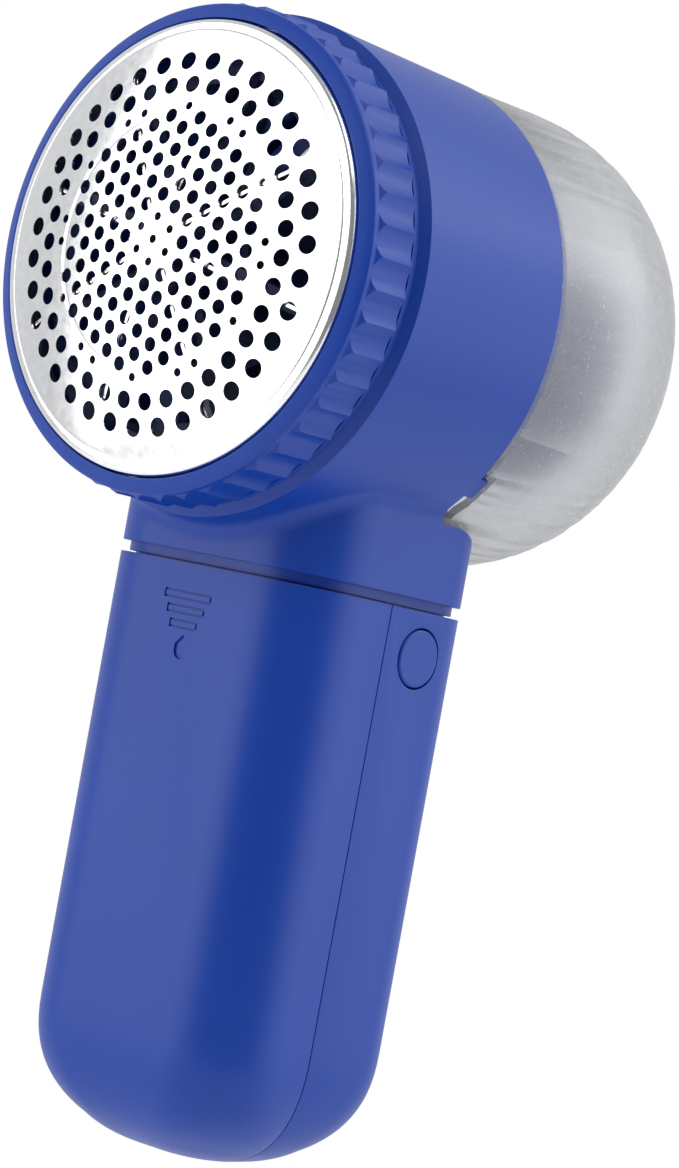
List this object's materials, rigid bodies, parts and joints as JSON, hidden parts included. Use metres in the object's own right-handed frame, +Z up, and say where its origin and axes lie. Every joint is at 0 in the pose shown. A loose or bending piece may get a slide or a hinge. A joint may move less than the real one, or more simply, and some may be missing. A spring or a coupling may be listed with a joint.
{
  "type": "fabric shaver",
  "caption": "Hand-held fabric shaver: round perforated foil head with a fluted ring, leaning blue grip with battery cover, frosted lint bin at the back.",
  "frame": {"origin": "under the middle of the whole object's box, at the lowest point of the grip's foot", "axes": "+Z up along the height of the tool, -Y the way the foil faces, +Y towards the lint bin, +X the side with the power button; the head's axis runs along Y, 116.8 mm up"},
  "size_m": [0.0668, 0.0851, 0.1504],
  "materials": {
    "blue_shell": "fine satin moulded plastic, strong blue",
    "foil_steel": "thin polished stainless sheet",
    "frosted_bin": "frosted translucent plastic",
    "navy_plastic": "dark blue moulded plastic",
    "grey_plastic": "blue-grey moulded plastic",
    "blade_steel": "ground blade steel",
    "motor_steel": "zinc plated steel",
    "bronze": "sintered bronze",
    "magnet_ferrite": "dark ferrite",
    "copper": "enamelled copper",
    "plated_contact": "nickel plated spring steel",
    "cell_jacket": "plain printed shrink sleeve",
    "board_green": "solder mask on glass laminate",
    "black_plastic": "black moulded plastic",
    "ceramic_orange": "dipped ceramic",
    "lead_insulation": "flexible wire insulation",
    "felt": "pressed felt",
    "foam": "soft foam"
  },
  "bodies": {
    "housing": {"head_housing": "blue_shell", "grip_rear_shell": "blue_shell", "motor_mount": "navy_plastic", "motor_cover": "grey_plastic", "motor_end_cap": "grey_plastic", "battery_tray": "grey_plastic", "motor_can": "motor_steel", "mount_screws": "motor_steel", "frame_screws": "motor_steel", "front_bush": "bronze", "rear_bush": "bronze", "motor_magnets": "magnet_ferrite", "motor_brushes": "copper", "contact_plates": "plated_contact", "contact_springs": "plated_contact", "bridge_plate": "plated_contact", "motor_terminals": "plated_contact", "button_spring": "plated_contact", "left_cell": "cell_jacket", "right_cell": "cell_jacket", "circuit_board": "board_green", "switch_body": "black_plastic", "capacitor": "ceramic_orange", "motor_leads": "lead_insulation", "battery_leads": "lead_insulation", "felt_washer": "felt"},
    "cutter": {"cutter_hub": "navy_plastic", "blades": "blade_steel", "hub_cap": "navy_plastic", "motor_shaft": "motor_steel", "armature_core": "motor_steel", "armature_windings": "copper", "commutator": "copper"},
    "foil_ring": {"foil_ring": "blue_shell", "cutter_foil": "foil_steel", "foil_retainer": "navy_plastic"},
    "lint_bin": {"lint_bin": "frosted_bin"},
    "battery_cover": {"battery_cover": "blue_shell", "cover_pad": "foam"},
    "power_button": {"power_button": "blue_shell", "switch_plunger": "black_plastic"}
  },
  "joints": [
    {"name": "cutter_spin", "type": "hinge", "parent": "housing", "child": "cutter", "pos_m": [0, -0.0399, 0.1168], "axis": [0, 1, 0], "continuous": true},
    {"name": "ring_twist", "type": "hinge", "parent": "housing", "child": "foil_ring", "pos_m": [0, -0.0399, 0.1168], "axis": [0, -1, 0], "range_deg": [0, 25]},
    {"name": "bin_pull", "type": "slide", "parent": "housing", "child": "lint_bin", "axis": [0, 1, 0], "range_m": [0, 0.065]},
    {"name": "cover_slide", "type": "slide", "parent": "housing", "child": "battery_cover", "axis": [0, 0.0422, -0.9991], "range_m": [0, 0.07]},
    {"name": "button_press", "type": "slide", "parent": "housing", "child": "power_button", "axis": [-1, 0, 0], "range_m": [0, 0.0012], "stiffness_N_per_m": 600, "springref_m": -0.001, "deforming": ["button_spring"]}
  ]
}
